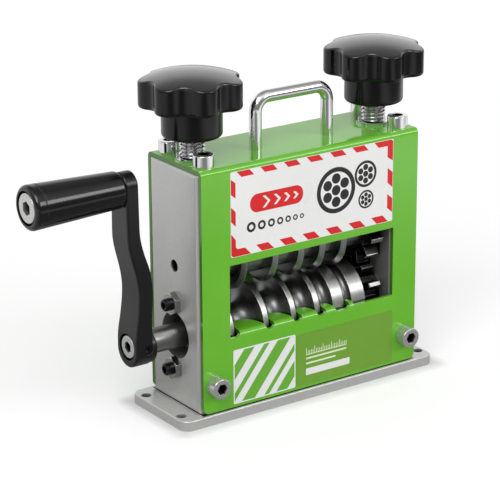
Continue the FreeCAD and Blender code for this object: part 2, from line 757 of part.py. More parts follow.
# Threaded bushes for the adjusting screws, flanged on top of the housing
for name, side in (("left", -1), ("right", 1)):
    bush = rod_z(bush_r, bush_foot_z, cover_top_z, side * screw_x, 0)
    flange = rod_z(bush_flange_r, cover_top_z, cover_top_z + bush_flange, side * screw_x, 0)
    bush = bush.fuse(flange)
    bush = bush.cut(rod_z(screw_r + run_gap, bush_foot_z - 1, cover_top_z + bush_flange + 1,
                          side * screw_x, 0))
    save("screw_bush_" + name, [bush])


# Star knobs: a lobed head under a shallow dome, on a round hub
def knob_outline(z):
    lobe_at = knob_r - knob_lobe_r
    half_pitch = math.pi / knob_lobes
    turn = math.cos(half_pitch)
    valley_apart = lobe_at ** 2 + knob_valley_r ** 2 - 2 * lobe_at * knob_valley_r * turn
    valley_arc = (valley_apart - knob_lobe_r ** 2) / (2 * (knob_lobe_r - knob_valley_r + lobe_at * turn))
    valley_at = knob_valley_r + valley_arc

    def polar(r, angle):
        return FreeCAD.Vector(r * math.cos(angle), r * math.sin(angle), z)

    curves = []
    for k in range(knob_lobes):
        angle = 2 * k * half_pitch
        lobe_centre = polar(lobe_at, angle)
        joints = []
        for side in (-1, 1):
            valley_centre = polar(valley_at, angle + side * half_pitch)
            step = (valley_centre - lobe_centre).normalize() * knob_lobe_r
            joints.append(lobe_centre + step)
        curves.append(Part.Arc(joints[0], polar(knob_r, angle), joints[1]))
        next_centre = polar(lobe_at, angle + 2 * half_pitch)
        valley_centre = polar(valley_at, angle + half_pitch)
        next_joint = next_centre + (valley_centre - next_centre).normalize() * knob_lobe_r
        curves.append(Part.Arc(joints[1], polar(knob_valley_r, angle + half_pitch), next_joint))
    return Part.Face(Part.Wire([curve.toShape() for curve in curves]))


def knob_body():
    head_z = knob_hub_height
    rim_z = head_z + knob_edge_height
    head = knob_outline(head_z).extrude(FreeCAD.Vector(0, 0, knob_edge_height + knob_crown))
    dome_r = (knob_r ** 2 + knob_crown ** 2) / (2 * knob_crown)
    dome_z = rim_z + knob_crown - dome_r
    reach = knob_r + 1
    dome = Part.makeSphere(dome_r, FreeCAD.Vector(0, 0, dome_z))
    dome = dome.common(rod_z(reach, head_z - 1, rim_z + knob_crown + 1, 0, 0))
    head = head.common(dome)
    top_edges = edges_where(head, lambda b: b.ZMin > rim_z - 1)
    head = head.makeFillet(knob_edge_r, top_edges)
    under_edges = edges_where(head, lambda b: b.ZMax < head_z + 0.01)
    head = head.makeFillet(knob_under_r, under_edges)
    hub = rod_z(knob_hub_r, 0, head_z + knob_dome_overlap, 0, 0)
    hub = hub.makeFillet(knob_under_r, edges_where(hub, lambda b: b.ZMax < 0.01))
    body = head.fuse(hub).removeSplitter()
    body = body.cut(rod_z(screw_r + fit_gap, -1, knob_socket_depth + fit_gap, 0, 0))
    body.rotate(FreeCAD.Vector(0, 0, 0), FreeCAD.Vector(0, 0, 1), knob_turn)
    return body


# Adjusting screws: collar and neck in the block's slot, ridged stud above, head end in the knob
def adjusting_screw(x, z_foot, z_top, thread_z0):
    collar_foot = collar_top_z - run_gap - collar_height
    outline = [
        (collar_foot, 0),
        (collar_foot, collar_r),
        (collar_foot + collar_height, collar_r),
        (collar_foot + collar_height, neck_r),
        (z_foot, neck_r),
        (z_foot, screw_r),
        (thread_z0, screw_r),
    ]
    turns = int((z_top - thread_end - thread_z0) / screw_pitch)
    for k in range(turns):
        foot = thread_z0 + k * screw_pitch
        outline.append((foot + screw_pitch * thread_root_at, screw_r - thread_depth))
        outline.append((foot + screw_pitch * thread_crest_at, screw_r))
        outline.append((foot + screw_pitch, screw_r))
    outline.append((z_top, screw_r))
    outline.append((z_top, 0))
    points = [FreeCAD.Vector(r, 0, z) for z, r in outline]
    face = Part.Face(Part.makePolygon(points + points[:1]))
    screw = face.revolve(FreeCAD.Vector(0, 0, 0), FreeCAD.Vector(0, 0, 1), 360)
    screw.translate(FreeCAD.Vector(x, 0, 0))
    return screw


knob_z = cover_top_z + bush_flange + knob_lift
star_knob = knob_body()
for name, side in (("left", -1), ("right", 1)):
    knob = star_knob.copy()
    knob.translate(FreeCAD.Vector(side * screw_x, 0, knob_z))
    save("knob_" + name, [knob])
    screw = adjusting_screw(side * screw_x, block_top_z + seat_gap, knob_z + knob_socket_depth,
                            cover_top_z - thread_below_top)
    save("adjusting_screw_" + name, [screw])

# Carry handle: a bent round bar held from inside by two screws
half_pitch = handle_pitch / 2
top_z = cover_top_z + handle_height - handle_r
bend_start = top_z - handle_bend_r
corner = handle_bend_r * (1 - math.sqrt(0.5))


def handle_point(x, z):
    return FreeCAD.Vector(x, handle_y, z)


path = Part.Wire([
    Part.LineSegment(handle_point(-half_pitch, cover_top_z),
                     handle_point(-half_pitch, bend_start)).toShape(),
    Part.Arc(handle_point(-half_pitch, bend_start), handle_point(-half_pitch + corner, top_z - corner),
             handle_point(-half_pitch + handle_bend_r, top_z)).toShape(),
    Part.LineSegment(handle_point(-half_pitch + handle_bend_r, top_z),
                     handle_point(half_pitch - handle_bend_r, top_z)).toShape(),
    Part.Arc(handle_point(half_pitch - handle_bend_r, top_z),
             handle_point(half_pitch - corner, top_z - corner),
             handle_point(half_pitch, bend_start)).toShape(),
    Part.LineSegment(handle_point(half_pitch, bend_start),
                     handle_point(half_pitch, cover_top_z)).toShape(),
])
bar_ring = Part.makeCircle(handle_r, handle_point(-half_pitch, cover_top_z), FreeCAD.Vector(0, 0, 1))
section = Part.Wire([bar_ring])
handle = path.makePipeShell([section], True, False)
handle_screws = []
handle_washers = []
m4_screw = cap_screw(handle_screw_r, handle_screw_length, handle_head_r, handle_head_height,
                     handle_socket_af, handle_socket_depth)
for side in (-1, 1):
    x = side * half_pitch
    handle = handle.cut(rod_z(handle_screw_r + thread_gap, cover_top_z - 1,
                              cover_top_z + handle_screw_length, x, handle_y))
    washer = rod_z(handle_washer_r, plate_top_z - handle_washer, plate_top_z, x, handle_y)
    washer = washer.cut(rod_z(handle_screw_r + handle_screw_free, plate_top_z - handle_washer - 1,
                              plate_top_z + 1, x, handle_y))
    handle_washers.append(washer)
    handle_screws.append(place(m4_screw, x, handle_y, plate_top_z - handle_washer, (0, 0, -1)))
save("carry_handle", [handle])
save("handle_washers", handle_washers)
save("handle_screws", handle_screws)

# Crank arm: a flat bar curved inwards between its hub and the grip's eye
def side_point(x, z):
    return FreeCAD.Vector(x, 0, z)


def side_curve(points):
    curve = Part.BSplineCurve()
    upright = FreeCAD.Vector(0, 0, 1)
    curve.interpolate(
        Points=[side_point(hub_x0 + x, drive_z + rise) for x, rise in points],
        InitialTangent=upright,
        FinalTangent=upright,
    )
    return curve.toShape()


hub_z = drive_z - arm_past_axis
eye_z = crank_z + arm_past_axis
arm_foot_z = hub_z - hub_r
arm_head_z = eye_z + eye_r
foot_outer = side_point(hub_x0, arm_foot_z)
foot_inner = side_point(hub_x0 + arm_inner[0][0], arm_foot_z)
head_outer = side_point(eye_x0, arm_head_z)
head_inner = side_point(eye_x1, arm_head_z)
outline = [
    Part.makeLine(foot_outer, side_point(hub_x0, drive_z + arm_outer[0][1])),
    side_curve(arm_outer),
    Part.makeLine(side_point(eye_x0, drive_z + arm_outer[-1][1]), head_outer),
    Part.makeLine(head_outer, head_inner),
    Part.makeLine(head_inner, side_point(eye_x1, drive_z + arm_inner[-1][1])),
    side_curve(arm_inner),
    Part.makeLine(side_point(hub_x0 + arm_inner[0][0], drive_z + arm_inner[0][1]), foot_inner),
    Part.makeLine(foot_inner, foot_outer),
]
side_face = Part.Face(Part.Wire(Part.__sortEdges__(outline)))
side_slab = side_face.extrude(FreeCAD.Vector(0, 4 * hub_r, 0))
side_slab.translate(FreeCAD.Vector(0, -2 * hub_r, 0))

# Seen along the shaft the arm is two round ends joined by straight tangents
front_x0 = eye_x0 - 1
lean_sin = (hub_r - eye_r) / (eye_z - hub_z)
lean_cos = math.sqrt(1 - lean_sin ** 2)


def front_point(y, z):
    return FreeCAD.Vector(front_x0, y, z)


hub_joint = front_point(hub_r * lean_cos, hub_z + hub_r * lean_sin)
eye_joint = front_point(eye_r * lean_cos, eye_z + eye_r * lean_sin)
hub_joint_far = front_point(-hub_joint.y, hub_joint.z)
eye_joint_far = front_point(-eye_joint.y, eye_joint.z)
front_wire = Part.Wire([
    Part.Arc(hub_joint_far, front_point(0, hub_z - hub_r), hub_joint).toShape(),
    Part.LineSegment(hub_joint, eye_joint).toShape(),
    Part.Arc(eye_joint, front_point(0, eye_z + eye_r), eye_joint_far).toShape(),
    Part.LineSegment(eye_joint_far, hub_joint_far).toShape(),
])
front_shape = Part.Face(front_wire).extrude(FreeCAD.Vector(hub_x1 + 1 - front_x0, 0, 0))
arm = side_slab.common(front_shape)
arm = arm.makeFillet(arm_edge_r, edges_where(arm, lambda b: b.ZLength > arm_edge_r))
boss = rod_x(hub_boss_r, hub_x0 + hub_length / 2, hub_x1, 0, hub_z)
boss = boss.makeFillet(arm_edge_r, edges_where(boss, lambda b: b.XMin > hub_x1 - 0.01))
arm = arm.fuse(boss)
arm = arm.cut(rod_x(hub_recess_r, hub_x0 - 1, hub_x0 + hub_recess_depth, 0, drive_z))
arm = arm.cut(rod_x(hub_screw_r + screw_free, hub_x0, hub_x1, 0, drive_z))
arm = arm.cut(rod_x(shaft_r + fit_gap, shaft_x0, hub_x1 + 1, 0, drive_z))
set_screw_x = hub_x0 + set_screw_from_face
arm = arm.cut(rod_y(set_screw_r + thread_gap, -hub_r - 1, -shaft_r + set_socket_depth, set_screw_x, drive_z))
arm = arm.cut(rod_x(grip_thread_r + thread_gap, eye_x0 - 1, eye_x1 + 1, 0, crank_z))
save("crank_arm", [arm])

# Screws of the crank
hub_screw = cap_screw(hub_screw_r, hub_screw_length, hub_screw_head_r, hub_screw_head,
                      cap_socket_af, hub_socket_depth)
save("crank_hub_screw", [place(hub_screw, hub_x0 + hub_recess_depth, 0, drive_z, (-1, 0, 0))])
set_screw = rod_z(set_screw_r, 0, set_screw_length, 0, 0).cut(hex_prism(set_socket_af, set_socket_depth))
set_screw_y = -shaft_r - fit_gap - set_screw_length
save("crank_set_screw", [place(set_screw, set_screw_x, set_screw_y, drive_z, (0, 1, 0))])

# Turning grip on its shoulder screw
grip_x1 = eye_x0 - grip_gap
grip_x0 = grip_x1 - grip_length
head_x0 = grip_x0 + grip_head_inset
head_x1 = head_x0 + grip_head_thick
ring_x0 = grip_x0 + grip_ring_from_end
axis_x = FreeCAD.Vector(1, 0, 0)
grip = Part.makeCone(grip_outer_r, grip_inner_r, grip_length, FreeCAD.Vector(grip_x0, 0, crank_z), axis_x)
grip = grip.makeFillet(grip_outer_edge_r, edges_where(grip, lambda b: b.XMax < grip_x0 + 0.01))
grip = grip.makeFillet(grip_inner_edge_r, edges_where(grip, lambda b: b.XMin > grip_x1 - 0.01))
grip = grip.cut(ring_x(grip_outer_r + 1, grip_outer_r - grip_ring_depth,
                       ring_x0, ring_x0 + grip_ring_width, crank_z))
grip = grip.cut(rod_x(grip_recess_r, grip_x0 - 1, head_x1 + seat_gap, 0, crank_z))
grip = grip.cut(rod_x(grip_axle_r + run_gap, grip_x0, grip_x1 + 1, 0, crank_z))
save("crank_grip", [grip])
axle = cap_screw(grip_axle_r, eye_x0 - head_x1, grip_head_r, grip_head_thick,
                 grip_socket_af, grip_socket_depth)
axle_end = head_x1 - eye_x1 + grip_thread_inset
axle = axle.fuse(rod_z(grip_thread_r, axle_end, head_x1 - eye_x0, 0, 0))
save("grip_axle_screw", [place(axle, head_x1, 0, crank_z, (-1, 0, 0))])
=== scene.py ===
import bmesh
import bpy
import math
from mathutils import Matrix, Vector


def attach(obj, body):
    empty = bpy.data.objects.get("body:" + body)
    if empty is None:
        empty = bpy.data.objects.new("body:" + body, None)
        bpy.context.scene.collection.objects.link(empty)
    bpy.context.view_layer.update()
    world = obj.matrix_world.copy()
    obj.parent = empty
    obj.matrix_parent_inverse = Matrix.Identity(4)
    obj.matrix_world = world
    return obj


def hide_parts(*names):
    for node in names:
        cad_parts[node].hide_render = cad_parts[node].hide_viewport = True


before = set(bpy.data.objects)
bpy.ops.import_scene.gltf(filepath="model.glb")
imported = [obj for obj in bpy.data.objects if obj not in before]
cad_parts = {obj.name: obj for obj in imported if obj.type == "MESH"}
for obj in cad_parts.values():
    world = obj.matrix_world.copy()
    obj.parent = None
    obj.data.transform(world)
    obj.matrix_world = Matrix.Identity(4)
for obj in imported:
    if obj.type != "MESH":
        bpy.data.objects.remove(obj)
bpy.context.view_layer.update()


# Base plate: 5 mm steel plate, satin plated, with rounded corners and four open bolt holes.
# The side plates stand on it, each held by two countersunk screws from underneath.
def tone(*levels):
    # A colour as a paint chart gives it, 0 to 255, in the linear values that the shader takes
    shares = [level / 255 for level in levels]
    linear = [v / 12.92 if v <= 0.04045 else ((v + 0.055) / 1.055) ** 2.4 for v in shares]
    return (*linear, 1.0)


def put(tree, kind, feeds, **settings):
    # Adds one node; a feed is either another node's socket or a plain value
    made = tree.nodes.new(kind)
    for key, value in settings.items():
        setattr(made, key, value)
    for socket, source in feeds.items():
        if isinstance(source, bpy.types.NodeSocket):
            tree.links.new(source, made.inputs[socket])
        else:
            made.inputs[socket].default_value = source
    return made


def calc(tree, operation, *feeds, clamp=False):
    feeds = dict(enumerate(feeds))
    return put(tree, "ShaderNodeMath", feeds, operation=operation, use_clamp=clamp).outputs[0]


def vector(tree, operation, *feeds):
    made = put(tree, "ShaderNodeVectorMath", dict(enumerate(feeds)), operation=operation)
    return made.outputs["Value" if operation in ("DOT_PRODUCT", "LENGTH") else "Vector"]


def axes_of(tree, feed):
    return put(tree, "ShaderNodeSeparateXYZ", {0: feed}).outputs


def remap(tree, feed, low, high, to_low=0.0, to_high=1.0):
    feeds = {0: feed, 1: low, 2: high, 3: to_low, 4: to_high}
    return put(tree, "ShaderNodeMapRange", feeds).outputs[0]


def noise(tree, place, scale, detail, roughness=0.5, **settings):
    feeds = {"Vector": place, "Scale": scale, "Detail": detail, "Roughness": roughness}
    return put(tree, "ShaderNodeTexNoise", feeds, **settings).outputs["Fac"]


def spread_noise(tree, feed, to_low=0.0, to_high=1.0):
    # Nearly all of a noise's values lie between these two, so they give its full range
    noise_low, noise_high = 0.3, 0.7
    return remap(tree, feed, noise_low, noise_high, to_low, to_high)


def blend_colour(tree, amount, first, second):
    feeds = {0: amount, 6: first, 7: second}
    return put(tree, "ShaderNodeMix", feeds, data_type="RGBA").outputs[2]


def bump(tree, height, distance, normal=None):
    feeds = {"Height": height, "Distance": distance, "Strength": 1.0}
    if normal is not None:
        feeds["Normal"] = normal
    return put(tree, "ShaderNodeBump", feeds).outputs[0]


def new_group(name, inputs, outputs):
    group = bpy.data.node_groups.new(name, "ShaderNodeTree")
    for label, kind, value in inputs:
        socket = group.interface.new_socket(label, in_out="INPUT", socket_type="NodeSocket" + kind)
        if value is not None:
            socket.default_value = value
    for label, kind in outputs:
        group.interface.new_socket(label, in_out="OUTPUT", socket_type="NodeSocket" + kind)
    given = group.nodes.new("NodeGroupInput").outputs
    result = group.nodes.new("NodeGroupOutput").inputs
    return group, given, result


def group_node(tree, group, feeds):
    return put(tree, "ShaderNodeGroup", feeds, node_tree=group).outputs


# Stretched noise: the drawn or brushed grain of metal, finer across than along
brushed_grain, given, result = new_group(
    "brushed_grain",
    [("Vector", "Vector", None), ("Lines", "Vector", (1.0, 1.0, 1.0)),
     ("Blotch Size", "Float", 0.02)],
    [("Grain", "Float"), ("Blotch", "Float")],
)
stretched = vector(brushed_grain, "MULTIPLY", given["Vector"], given["Lines"])
fine = noise(brushed_grain, stretched, 1.0, 3.0, 0.65)
blotches_per_metre = calc(brushed_grain, "DIVIDE", 1.0, given["Blotch Size"])
cloudy = noise(brushed_grain, given["Vector"], blotches_per_metre, 3.0, 0.55)
brushed_grain.links.new(fine, result["Grain"])
brushed_grain.links.new(cloudy, result["Blotch"])

# Rounds the look of a sharp edge a little, and gives a patchy edge mask where a lighter colour goes
# in: partly edge wear, partly painted highlight
wear_glint_edge, given, result = new_group(
    "wear_glint_edge",
    [("Radius", "Float", 0.0003), ("Vector", "Vector", None), ("Patch Size", "Float", 0.003)],
    [("Normal", "Vector"), ("Wear And Glint", "Float")],
)
rounded = put(wear_glint_edge, "ShaderNodeBevel", {"Radius": given["Radius"]}, samples=4).outputs[0]
surface = wear_glint_edge.nodes.new("ShaderNodeNewGeometry").outputs["Normal"]
aligned = vector(wear_glint_edge, "DOT_PRODUCT", rounded, surface)
turned_away = calc(wear_glint_edge, "SUBTRACT", 1.0, aligned)
edge_strength = 9.0
strong = calc(wear_glint_edge, "MULTIPLY", turned_away, edge_strength, clamp=True)
patches_per_metre = calc(wear_glint_edge, "DIVIDE", 1.0, given["Patch Size"])
patches = noise(wear_glint_edge, given["Vector"], patches_per_metre, 2.0)
patchy = remap(wear_glint_edge, patches, 0.35, 0.6, 0.25, 1.0)
wear_glint_edge.links.new(rounded, result["Normal"])
wear_glint_edge.links.new(calc(wear_glint_edge, "MULTIPLY", strong, patchy, clamp=True), result["Wear And Glint"])

# Shows the inside of a hole or socket: how far a point lies below the mouth, within its radius.
# The part is alike left to right and front to back, so a mouth in the positive quarter serves all.
sunk_hole, given, result = new_group(
    "sunk_hole",
    [("Vector", "Vector", None), ("Mouth", "Vector", (0.0, 0.0, 0.0)),
     ("Axis", "Vector", (1.0, 0.0, 0.0)), ("Radius", "Float", 0.003), ("Fade", "Float", 0.001)],
    [("Deep", "Float")],
)
folded = vector(sunk_hole, "ABSOLUTE", given["Vector"])
from_mouth = vector(sunk_hole, "SUBTRACT", folded, given["Mouth"])
height_over = vector(sunk_hole, "DOT_PRODUCT", from_mouth, given["Axis"])
off_axis = vector(sunk_hole, "LENGTH", vector(sunk_hole, "CROSS_PRODUCT", from_mouth, given["Axis"]))
depth_below = calc(sunk_hole, "MULTIPLY", height_over, -1.0)
depth_share = calc(sunk_hole, "DIVIDE", depth_below, given["Fade"], clamp=True)
within = calc(sunk_hole, "LESS_THAN", off_axis, given["Radius"])
sunk_hole.links.new(calc(sunk_hole, "MULTIPLY", depth_share, within), result["Deep"])


def blank_material(name):
    made = bpy.data.materials.new(name)
    made.use_nodes = True
    tree = made.node_tree
    place = put(tree, "ShaderNodeTexCoord", {}).outputs["Object"]
    return made, tree, tree.nodes["Principled BSDF"], place


def metal(name, colour, dull, rough, lines, blotch=0.02, spread=0.12, edge=0.0003, wear_glint=0.5,
          bright=(225, 225, 224), depth=0.00001, metallic=1.0, sunk=(), under=None):
    # colour and dull are the two shades that the grain runs between; lines is the grain per metre.
    # sunk lists holes whose insides get painted shade: mouth, axis, radius, depth where all is dark.
    # under is half the length and width of what stands on it, where the metal gets painted shade.
    made, tree, shader, place = blank_material(name)
    grain = group_node(tree, brushed_grain, {"Vector": place, "Lines": lines, "Blotch Size": blotch})
    shade = blend_colour(tree, spread_noise(tree, grain["Grain"]), tone(*dull), tone(*colour))
    unlit = tone(30, 30, 31)
    rounding = None
    if edge:
        corner = group_node(tree, wear_glint_edge, {"Vector": place, "Radius": edge})
        rounding = corner["Normal"]
        # Lighter colour along the edges: partly worn metal, partly painted highlight
        wear_glint_mix = calc(tree, "MULTIPLY", corner["Wear And Glint"], wear_glint)
        shade = blend_colour(tree, wear_glint_mix, shade, tone(*bright))
    for mouth, axis, radius, fade in sunk:
        hole = {"Vector": place, "Mouth": mouth, "Axis": axis, "Radius": radius, "Fade": fade}
        shade = blend_colour(tree, group_node(tree, sunk_hole, hole)["Deep"], shade, unlit)
    if under:
        from_middle = axes_of(tree, vector(tree, "ABSOLUTE", place))
        painted_shade_under = calc(tree, "MULTIPLY", calc(tree, "LESS_THAN", from_middle[0], under[0]),
                       calc(tree, "LESS_THAN", from_middle[1], under[1]))
        shade = blend_colour(tree, painted_shade_under, shade, unlit)
    tree.links.new(shade, shader.inputs["Base Color"])
    mixed = calc(tree, "ADD", grain["Blotch"], calc(tree, "MULTIPLY", grain["Grain"], 0.6))
    finish = remap(tree, mixed, 0.45, 1.15, rough - spread / 2, rough + spread / 2)
    tree.links.new(finish, shader.inputs["Roughness"])
    shader.inputs["Metallic"].default_value = metallic
    tree.links.new(bump(tree, grain["Grain"], depth, rounding), shader.inputs["Normal"])
    return made


def dress(material, *nodes):
    for name in nodes:
        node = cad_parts[name]
        node.data.materials.clear()
        node.data.materials.append(material)


along_x, along_y, along_z = (1, 0, 0), (0, 1, 0), (0, 0, 1)
# Painted shade: the bolt holes are darkened inside, and so is the top where the housing stands on
# it.
bolt_hole = ((0.0713, 0.0154, 0.005), along_z, 0.0028, 0.0025)
plated_base = metal("plated_base", (216, 216, 213), (204, 204, 201), 0.34, (1500, 1500, 1500),
                    blotch=0.03, depth=0.000004, metallic=0.55, sunk=[bolt_hole],
                    under=(0.0634, 0.02235))
dress(plated_base, "base_plate")
black_oxide = metal("black_oxide", (62, 62, 65), (44, 44, 47), 0.32, (1500, 1500, 1500),
                    wear_glint=0.35, bright=(120, 120, 122))
dress(black_oxide, "base_screws")

# Side plates: steel, about 16 mm thick, ground on the faces, with a rounded rim outside.
# They carry both bearings, the sliding blocks and every screw of the housing.
drive_z = 0.0393
blade_z = 0.074
# Painted shade: the insides of the shaft opening and the small hole, and each plate's inner face
# within the housing, are darkened.
shaft_opening = ((0.064, 0, drive_z), along_x, 0.0117, 0.011)
small_hole = ((0.064, 0, blade_z), along_x, 0.0032, 0.0012)
inner_face_shade = ((0.0486, 0, 0), along_x, 1.0, 0.0008)
ground_plate = metal("ground_plate", (196, 196, 193), (186, 186, 183), 0.36, (1800, 1800, 500),
                     blotch=0.035, edge=0.0005, wear_glint=0.8, depth=0.000004, metallic=0.6,
                     sunk=[shaft_opening, small_hole, inner_face_shade])
dress(ground_plate, "side_plate_left", "side_plate_right")


# Drive bearings, their retainers and the studs: sealed ball bearings pressed into the side plates,
# kept in by black retainers whose studs pass through the plate to lock nuts outside.
def about_x(tree, place, centre_z):
    # Turns the pattern so that its own Z runs along the shaft at that height
    feeds = {"Vector": place, "Location": (centre_z, 0.0, 0.0), "Rotation": (0.0, -math.pi / 2, 0.0)}
    return put(tree, "ShaderNodeMapping", feeds).outputs[0]


# Lathe marks: rings round the pattern's Z, and how far a point is from that axis
lathe_marks, given, result = new_group(
    "lathe_marks",
    [("Vector", "Vector", None), ("Marks per Metre", "Float", 3000.0)],
    [("Radius", "Float"), ("Marks", "Float")],
)
split = axes_of(lathe_marks, given["Vector"])
flat = put(lathe_marks, "ShaderNodeCombineXYZ", {0: split[0], 1: split[1]}).outputs[0]
from_axis = vector(lathe_marks, "LENGTH", flat)
section_point = put(lathe_marks, "ShaderNodeCombineXYZ", {0: from_axis, 1: split[2]}).outputs[0]
marks_apart = put(lathe_marks, "ShaderNodeVectorMath",
                  {0: section_point, "Scale": given["Marks per Metre"]}, operation="SCALE")
marks = noise(lathe_marks, marks_apart.outputs["Vector"], 1.0, 2.0, 0.6, noise_dimensions="2D")
lathe_marks.links.new(from_axis, result["Radius"])
lathe_marks.links.new(marks, result["Marks"])


def turned_metal(name, colour, dull, rough, centre_z, marks_per_metre=3000.0, depth=0.000012,
                 spread=0.1, edge=0.0003, wear_glint=0.5, bands=None):
    # bands, where given, is the radius from which a second finish starts, its two shades and
    # its roughness
    made, tree, shader, place = blank_material(name)
    rings = group_node(tree, lathe_marks, {"Vector": about_x(tree, place, centre_z),
                                           "Marks per Metre": marks_per_metre})
    corner = group_node(tree, wear_glint_edge, {"Vector": place, "Radius": edge})
    streak = spread_noise(tree, rings["Marks"])
    shade = blend_colour(tree, streak, tone(*dull), tone(*colour))
    finish = remap(tree, rings["Marks"], 0.25, 0.75, rough - spread / 2, rough + spread / 2)
    if bands:
        from_radius, outer_colour, outer_dull, outer_rough = bands
        half_step = 0.0001
        outside = remap(tree, rings["Radius"], from_radius - half_step, from_radius + half_step)
        outer = blend_colour(tree, streak, tone(*outer_dull), tone(*outer_colour))
        shade = blend_colour(tree, outside, shade, outer)
        outer_finish = calc(tree, "ADD", finish, outer_rough - rough)
        finish = put(tree, "ShaderNodeMix", {0: outside, 2: finish, 3: outer_finish}).outputs[0]
    # Lighter colour along the edges: partly worn metal, partly painted highlight
    wear_glint_mix = calc(tree, "MULTIPLY", corner["Wear And Glint"], wear_glint)
    tree.links.new(blend_colour(tree, wear_glint_mix, shade, tone(232, 232, 230)), shader.inputs["Base Color"])
    tree.links.new(finish, shader.inputs["Roughness"])
    shader.inputs["Metallic"].default_value = 1.0
    tree.links.new(bump(tree, rings["Marks"], depth, corner["Normal"]), shader.inputs["Normal"])
    return made


seal_black, seal_dull = (40, 40, 42), (30, 30, 32)
race_bright, race_dull = (196, 196, 196), (176, 176, 176)
sealed_drive_bearing = turned_metal("sealed_drive_bearing", seal_black, seal_dull, 0.45, drive_z,
                                    bands=(0.0104, race_bright, race_dull, 0.22))
dress(sealed_drive_bearing, "drive_bearing_left", "drive_bearing_right")
dress(black_oxide, "bearing_retainer_left", "bearing_retainer_right", "retainer_studs")
bright_nut = metal("bright_nut", (176, 176, 176), (160, 160, 160), 0.24, (1500, 1500, 1500),
                   wear_glint=0.9)
dress(bright_nut, "stud_lock_nuts")

# Drive shaft, its key and clips: a ground steel bar that turns in the side plates' bearings and
# carries the roller and the gear on one long key, with sleeves beside them.
ground_shaft = turned_metal("ground_shaft", (158, 158, 156), (138, 138, 136), 0.36, drive_z)
dress(ground_shaft, "drive_shaft", "drive_key")
spring_clip = metal("spring_clip", (70, 70, 72), (52, 52, 54), 0.35, (2000, 2000, 2000), wear_glint=0.4)
dress(spring_clip, "drive_circlips")
turned_sleeve = turned_metal("turned_sleeve", (96, 96, 98), (72, 72, 75), 0.28, drive_z)
dress(turned_sleeve, "drive_sleeve_left", "drive_sleeve_middle", "drive_sleeve_right")

# Feed roller: one turned steel roller with five round-bottomed grooves for cables of falling size,
# keyed to the drive shaft. The ridges keep a bright ground finish, the grooves are darker.
ridge_radius = 0.01865
polished_roller = turned_metal("polished_roller", (122, 122, 122), (108, 108, 108), 0.34, drive_z,
                               marks_per_metre=3200.0, spread=0.06, edge=0.0004, wear_glint=0.8,
                               depth=0.000002,
                               bands=(ridge_radius, (204, 203, 200), (180, 179, 177), 0.34))
dress(polished_roller, "feed_roller")

# Gears: a pair of long-toothed gears, blackened, whose tooth tips have run bright.
# The lower one is keyed to the drive shaft and the upper one to the blade shaft.
tip_radius = 0.0189
for name, node, centre_z in (("blackened_gear", "drive_gear", drive_z),
                             ("blade_gear_steel", "blade_gear", blade_z)):
    gear_steel = turned_metal(name, (54, 54, 55), (38, 38, 39), 0.36, centre_z, wear_glint=0.7,
                              bands=(tip_radius, (168, 168, 167), (140, 140, 139), 0.34))
    dress(gear_steel, node)

# Blade shaft: a ground shaft with five round blades ground to a V, kept apart by turned spacers.
# Key and clips hold the stack, and sealed bearings at its ends sit in the sliding blocks.
blade_shaft_steel = turned_metal("blade_shaft_steel", (188, 188, 188), (160, 160, 160), 0.22,
                                 blade_z)
dress(blade_shaft_steel, "blade_shaft", "blade_key")
dress(spring_clip, "blade_circlips")
bevel_radius = 0.0149
ground_blade = turned_metal("ground_blade", (128, 128, 130), (108, 108, 110), 0.3, blade_z,
                            marks_per_metre=4200.0, wear_glint=0.9, edge=0.00025, depth=0.000004,
                            bands=(bevel_radius, (196, 196, 197), (170, 170, 172), 0.3))
dress(ground_blade, *["blade_" + str(k) for k in range(1, 6)])
blade_spacer_steel = turned_metal("blade_spacer_steel", (168, 168, 168), (150, 150, 150), 0.3,
                                  blade_z, marks_per_metre=1200.0, spread=0.05, depth=0.000002)
dress(blade_spacer_steel, *["blade_spacer_" + str(k) for k in range(1, 8)])
sealed_blade_bearing = turned_metal("sealed_blade_bearing", seal_black, seal_dull, 0.45, blade_z,
                                    bands=(0.0089, race_bright, race_dull, 0.22))
dress(sealed_blade_bearing, "blade_bearing_left", "blade_bearing_right")

# Bearing blocks: milled steel blocks that slide up and down in the side plates.
# A slot in the top of each takes the collar of its adjusting screw.
milled_block = metal("milled_block", (120, 120, 121), (96, 96, 98), 0.34, (300, 2600, 300),
                     wear_glint=0.6)
dress(milled_block, "bearing_block_left", "bearing_block_right")


